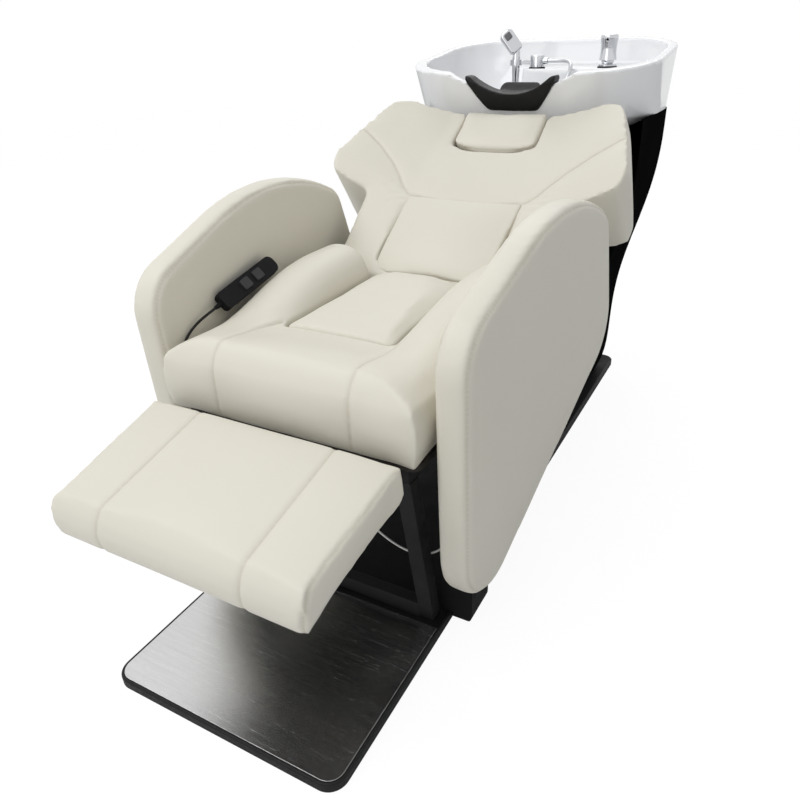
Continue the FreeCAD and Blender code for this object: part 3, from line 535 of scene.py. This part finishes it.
def sew(piece, lines, depth, creases=()):
    """Finer skin, pulled in along the sewn lines and creases; the leather reads the lines as attributes,
    and is painted darker along them as shade.
    """
    seam_reach, crease_reach, crease_depth = 0.0045, 0.005, 0.0014
    finer = piece.modifiers.new("finer", "SUBSURF")
    finer.levels = finer.render_levels = 1
    settle(piece)
    shift_along_normals(piece, -depth * nearness(piece, lines, seam_reach))
    if creases:
        shift_along_normals(piece, -crease_depth * nearness(piece, on_skin(piece, creases), crease_reach))
    # sewn marks where the leather gets painted seam shade; pull marks where it puckers.
    for label, reach in (("sewn", 0.0026), ("pull", 0.022)):
        mark = piece.data.attributes.new(label, "FLOAT", "POINT")
        mark.data.foreach_set("value", nearness(piece, lines, reach))
    piece.data.shade_smooth()


def upholster(node, name, body, lines, voxel=0.007, cap=0.006, depth=0.0022, creases=(), rounds=6,
              inset=0.003, shape=None):
    """A finished pad; gives its sewn lines as they lie on the leather."""
    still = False
    piece = cut_pad(node, name, voxel, 0.0 if still else inset, rounds)
    if shape:
        move_to(piece, shape(points_of(piece)))
    lines = on_skin(piece, lines)
    if not still:
        swell(piece, lines, cap)
    sew(piece, lines, depth, creases)
    put(piece, leather, "cream_leather", body, node)
    return on_skin(piece, lines)


def mirrored(lines):
    return lines + [[Vector((-spot.x, spot.y, spot.z)) for spot in line] for line in lines]


stitch_paths = {"base": [], "leg_rest": [], "backrest": []}

# Seat: one roll across the front and up both sides, sewn down the front at each corner of the sunk pad,
# and that pad, laid in loose
seat_seams = mirrored([walk([(0.118, -0.405, 0.556), (0.128, -0.47, 0.572), (0.134, -0.56, 0.566),
                             (0.134, -0.60, 0.52), (0.134, -0.60, 0.44)])])
stitch_paths["base"] += upholster("seat_cushion", "seat_roll", "base", seat_seams)
insert_front = [walk([(-0.112, -0.40, 0.53), (0.112, -0.40, 0.53)])]
upholster("seat_insert", "seat_centre_pad", "base", insert_front, cap=0.008, depth=0.0)

# Leg rest: flat pad, rounded over at the front, with side panels sewn in along its edges and a seam on
# each side of the middle panel; measured from the top rear edge, along and across its slope
leg_corner = Vector((0, -0.622, 0.478))
leg_slope = math.radians(12.5)


def down_leg(x, y, z):
    return leg_corner + Vector((x, y * math.cos(leg_slope) - z * math.sin(leg_slope),
                                y * math.sin(leg_slope) + z * math.cos(leg_slope)))


panel_seam = [(0.134, -0.004, 0.0), (0.134, -0.20, 0.003), (0.134, -0.236, -0.005),
              (0.134, -0.258, -0.030), (0.134, -0.266, -0.058), (0.134, -0.264, -0.072)]
edge_seam = [(0.246, -0.014, -0.004), (0.236, -0.196, -0.004), (0.234, -0.230, -0.011),
             (0.2335, -0.252, -0.032), (0.233, -0.262, -0.058), (0.232, -0.262, -0.072)]
leg_seams = mirrored([walk([down_leg(*stop) for stop in seam]) for seam in (panel_seam, edge_seam)])
stitch_paths["leg_rest"] += upholster("leg_rest_cushion", "leg_rest_pad", "leg_rest", leg_seams,
                                      voxel=0.006)

# Backrest: winged shell with a curved seam from each shoulder to the lumbar panel, small creases where
# the seams pull, and the lumbar and head panels set in; measured up the back from its hinge
hinge = Vector((0, -0.025, 0.515))
back_slope = math.radians(37)


def up_back(x, u, v):
    return hinge + Vector((x, u * math.cos(back_slope) - v * math.sin(back_slope),
                           u * math.sin(back_slope) + v * math.cos(back_slope)))


def back_line(*stops):
    return walk([up_back(*stop) for stop in stops])


wing_seam = back_line((0.346, 0.390, 0.080), (0.312, 0.378, 0.068), (0.266, 0.348, 0.051),
                      (0.218, 0.308, 0.040), (0.190, 0.276, 0.036), (0.168, 0.246, 0.033),
                      (0.146, 0.226, 0.029))
lumbar_top = back_line((0.0, 0.211, 0.030), (0.06, 0.211, 0.030), (0.144, 0.225, 0.029))
corner_creases = mirrored([back_line((0.152, 0.226, 0.03), (0.205, 0.236, 0.04)),
                           back_line((0.150, 0.220, 0.03), (0.196, 0.214, 0.04)),
                           back_line((0.156, 0.236, 0.03), (0.192, 0.250, 0.04)),
                           back_line((0.148, 0.205, 0.03), (0.180, 0.190, 0.04))])
back_seams = mirrored([wing_seam, lumbar_top])
back_sewn = upholster("back_cushion", "back_shell", "backrest", back_seams, voxel=0.0077,
                      creases=corner_creases, rounds=20)
stitch_paths["backrest"] += back_sewn[::2]
lumbar_rim = mirrored([back_line((0.140, 0.03, 0.046), (0.140, 0.218, 0.030)),
                       back_line((0.0, 0.207, 0.030), (0.06, 0.207, 0.030), (0.138, 0.219, 0.030))])


def tucked_in(spots):
    """The lumbar panel's lower end, drawn out so that it goes down behind the seat."""
    along = np.array([0, math.cos(back_slope), math.sin(back_slope)])
    up = (spots - np.array(hinge)) @ along
    drawn_out, from_up, over = 0.022, 0.07, 0.06
    return spots - np.outer(drawn_out * np.clip((from_up - up) / over, 0, 1), along)


upholster("lumbar_pad", "lumbar_panel", "backrest", lumbar_rim, voxel=0.005, cap=0.008, depth=0.001,
          inset=0.0005, shape=tucked_in)
head_rim = [back_line((-0.098, 0.415, 0.0), (-0.04, 0.398, 0.0), (0.04, 0.398, 0.0),
                      (0.098, 0.415, 0.0))]
upholster("head_pad", "head_panel", "backrest", head_rim, voxel=0.005, cap=0.005, depth=0.0008,
          inset=0.0005)


# Side panels: thick padded slabs, toed out to the rear, with a leather band round the edge that is sewn
# to both faces
arm_in = 0.262
arm_front = -0.56
arm_thick = 0.065
arm_toe = math.radians(2.4)
arm_middle = Vector((0, -0.20, 0.45))
arm_half_long = 0.37
well_outside = 0.9


def rim_line(piece, side, share):
    """A line round a side panel, that share of the way across its edge band."""
    skin = skin_of(piece)
    line = []
    for i in range(361):
        way = Vector((0, math.cos(math.radians(i)), math.sin(math.radians(i))))
        spot = arm_middle + way * arm_half_long
        for part in (0.5, 0.5, share):
            across = arm_in + math.tan(arm_toe) * (spot.y - arm_front) + arm_thick * part
            start = arm_middle + Vector((side * across, 0, 0)) + way * well_outside
            spot = skin.ray_cast(start, -way)[0]
        line.append(spot)
    return line


for label, side in (("left", 1), ("right", -1)):
    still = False
    arm = cut_pad("arm_pad_" + label, "side_panel_" + label, voxel=0.008, inset=0.0 if still else 0.003)
    rims = [rim_line(arm, side, 0.10), rim_line(arm, side, 0.90)]
    if not still:
        swell(arm, rims, cap=0.006)
    rims = on_skin(arm, rims)
    sew(arm, rims, depth=0.0018)
    put(arm, leather, "cream_leather", "base", "arm_pad_" + label)
    stitch_paths["base"] += on_skin(arm, rims)

# Stitches: pale thread, one short stitch every 4 mm along each sewn line, half sunk in the leather;
# one row of them goes with each moving body
thread = Finish("cream_thread")
thread.surface(
    Base_Color=thread.blend(thread.noise(900, 2), (0.60, 0.56, 0.46, 1), (0.72, 0.68, 0.58, 1)),
    Roughness=0.6)


def stitch_tree():
    tree = bpy.data.node_groups.new("stitch_row", "GeometryNodeTree")
    tree.interface.new_socket("Line", in_out="INPUT", socket_type="NodeSocketGeometry")
    for label in ("Pitch", "Length", "Thickness"):
        tree.interface.new_socket(label, in_out="INPUT", socket_type="NodeSocketFloat")
    tree.interface.new_socket("Stitches", in_out="OUTPUT", socket_type="NodeSocketGeometry")
    start = tree.nodes.new("NodeGroupInput")
    end = tree.nodes.new("NodeGroupOutput")
    even = tree.nodes.new("GeometryNodeResampleCurve")
    even.mode = "LENGTH"
    spots = tree.nodes.new("GeometryNodeCurveToPoints")
    spots.mode = "EVALUATED"
    bead = tree.nodes.new("GeometryNodeMeshCylinder")
    bead.inputs["Vertices"].default_value = 6
    copies = tree.nodes.new("GeometryNodeInstanceOnPoints")
    real = tree.nodes.new("GeometryNodeRealizeInstances")
    paint = tree.nodes.new("GeometryNodeSetMaterial")
    paint.inputs["Material"].default_value = thread.material
    link = tree.links.new
    link(start.outputs["Line"], even.inputs["Curve"])
    link(start.outputs["Pitch"], even.inputs["Length"])
    link(even.outputs[0], spots.inputs[0])
    link(start.outputs["Thickness"], bead.inputs["Radius"])
    link(start.outputs["Length"], bead.inputs["Depth"])
    link(spots.outputs["Points"], copies.inputs["Points"])
    link(bead.outputs["Mesh"], copies.inputs["Instance"])
    link(spots.outputs["Rotation"], copies.inputs["Rotation"])
    link(copies.outputs[0], real.inputs[0])
    link(real.outputs[0], paint.inputs["Geometry"])
    link(paint.outputs[0], end.inputs["Stitches"])
    return tree


stitches = stitch_tree()
stitch_sizes = {"Pitch": 0.0042, "Length": 0.0030, "Thickness": 0.00042}
for body, paths in stitch_paths.items():
    seam_curve = bpy.data.curves.new("seam_" + body, "CURVE")
    seam_curve.dimensions = "3D"
    for path in paths:
        spline = seam_curve.splines.new("POLY")
        spline.points.add(len(path) - 1)
        spline.points.foreach_set("co", [n for spot in path for n in (*spot, 1.0)])
    row = bpy.data.objects.new("stitch_row_" + body, seam_curve)
    scene.collection.objects.link(row)
    maker = row.modifiers.new("stitches", "NODES")
    maker.node_group = stitches
    for item in stitches.interface.items_tree:
        if item.in_out == "INPUT" and item.name in stitch_sizes:
            maker[item.identifier] = stitch_sizes[item.name]
    bpy.context.view_layer.update()
    done = made_mesh(row)
    bpy.data.objects.remove(row)
    piece = bpy.data.objects.new("stitches_" + body, done)
    scene.collection.objects.link(piece)
    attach(piece, body)

# Handset: two-part black moulding with two dark grey keys, resting on its edge against the side panel
# on the sitter's right
dark_key = Finish("dark_key")
dark_key.surface(
    Base_Color=dark_key.blend(dark_key.noise(60, 3), (0.030, 0.030, 0.032, 1), (0.045, 0.045, 0.047, 1)),
    Roughness=dark_key.spread(dark_key.noise(200, 2), 0.3, 0.7, 0.50, 0.62), Specular_IOR_Level=0.25)
for node in ("handset_cover", "handset_base"):
    put(fair_copy(node, node + "_shell", 0.0016), black_plastic, "black_plastic", "base", node)
put(fair_copy("key_lower", "key_lower_cap", 0.0012), dark_key, "grey_plastic", "lower_key", "key_lower")
put(fair_copy("key_raise", "key_raise_cap", 0.0012), dark_key, "grey_plastic", "raise_key", "key_raise")

# Cowl: black moulded shell round the pipes under the basin, with a service door let into its rear;
# both stand on the floor board
cowl_black = Finish("matt_black_shell")
cowl_grain = cowl_black.noise(260, 3)
cowl_black.surface(
    Base_Color=cowl_black.blend(cowl_black.noise(6, 3), (0.004, 0.004, 0.0045, 1),
                                (0.008, 0.008, 0.0085, 1)),
    Roughness=cowl_black.spread(cowl_grain, 0.3, 0.7, 0.78, 0.92), Specular_IOR_Level=0.0,
    Normal=cowl_black.bump(cowl_grain, 0.0002, 0.4))
for node in ("rear_cowl", "cowl_door"):
    put(fair_copy(node, node + "_shell", 0.0012, 50), cowl_black, "black_plastic", "base", node)

# Basin: slip-cast ceramic with a thick white glaze that rounds every edge, standing on two posts inside
# the cowl
glaze = Finish("white_glaze")
ripple = glaze.noise(16, 2)
glaze.surface(Base_Color=glaze.blend(glaze.noise(5, 2), (0.89, 0.895, 0.91, 1), (0.92, 0.925, 0.935, 1)),
              Roughness=glaze.spread(glaze.noise(30, 2), 0.3, 0.7, 0.07, 0.13),
              Coat_Weight=0.5, Coat_Roughness=0.04,
              Normal=glaze.bump(ripple, 0.0012, 0.12))


def cast(node, name, voxel):
    """Smooth moulded copy of a CAD node."""
    piece = reskinned(node, name, voxel, rounds=14)
    piece.data.shade_smooth()
    return piece


put(cast("basin", "basin_casting", 0.0042), glaze, "white_glaze", "base", "basin")

# Neck rest: soft black rubber saddle, moulded in one and pushed over the notch in the front of the
# basin's rim; its front hangs down straight and its tongue bends up into the bowl
saddle = cast("neck_rest", "neck_saddle", 0.003)
saddle_spots = points_of(saddle)
across = np.abs(saddle_spots[:, 0])
straight_edge = 0.827
hang_end, hang_taper, hang_most = 0.104, 0.040, 0.020
wall_lean = 0.5
tongue_start, tongue_long, tongue_rise = 0.455, 0.05, 0.65


def arc_height(centre, radius, reach):
    """Height of an arc in the saddle's front, over every point of it."""
    return centre - np.sqrt(radius ** 2 - np.minimum(across, reach) ** 2)


upper_arc = arc_height(1.0232, 0.1552, 0.13)
lower_arc = arc_height(0.9587, 0.1287, 0.12)
low_share = np.clip((upper_arc - saddle_spots[:, 2]) / (upper_arc - lower_arc), 0, 1)
hang = np.clip((hang_end - across) / hang_taper, 0, 1) * hang_most
hang = np.minimum(lower_arc - straight_edge, hang) * low_share ** 1.5
hang = evened(saddle, hang[:, None], [0.5] * 24)[:, 0]
behind = np.clip(saddle_spots[:, 1] - tongue_start, 0, tongue_long)
saddle_spots[:, 1] += wall_lean * hang
saddle_spots[:, 2] += tongue_rise * behind - hang * (behind == 0)
move_to(saddle, evened(saddle, saddle_spots, [0.5] * 8))
put(saddle, black_rubber, "black_rubber", "base", "neck_rest")

# Waste, mixer, hose outlet and hand shower: turned brass, polished and chromed, screwed down on black
# seals; the hand shower has one grey key
chrome = Finish("polished_chrome")
chrome.surface(
    Base_Color=chrome.blend(chrome.noise(20, 2), (0.54, 0.55, 0.57, 1), (0.64, 0.65, 0.67, 1)),
    Metallic=1.0, Roughness=chrome.spread(chrome.noise(60, 3), 0.3, 0.7, 0.05, 0.11))
for node, body in (("drain_flange", "base"), ("drain_tail", "base"), ("mixer_base", "base"),
                   ("hose_outlet", "base"), ("wand_holder", "base"), ("mixer_dome", "mixer_swivel"),
                   ("mixer_handle", "mixer_lever"), ("wand", "hand_wand"), ("drain_strainer", "strainer")):
    put(fair_copy(node, node + "_chrome", 0.0008), chrome, "chrome", body, node)
put(fair_copy("tap_seals", "tap_seal_rings", 0.0005), black_rubber, "black_rubber", "base", "tap_seals")
put(fair_copy("mixer_plug", "mixer_index", 0.0004), black_plastic, "black_plastic", "mixer_lever",
    "mixer_plug")
grey_plastic = Finish("grey_key")
grey_plastic.surface(
    Base_Color=grey_plastic.blend(grey_plastic.noise(60, 3), (0.10, 0.10, 0.105, 1),
                                  (0.15, 0.15, 0.155, 1)),
    Roughness=grey_plastic.spread(grey_plastic.noise(200, 2), 0.3, 0.7, 0.42, 0.55))
put(fair_copy("wand_key", "wand_key_cap", 0.0012), grey_plastic, "grey_plastic", "hand_wand", "wand_key")
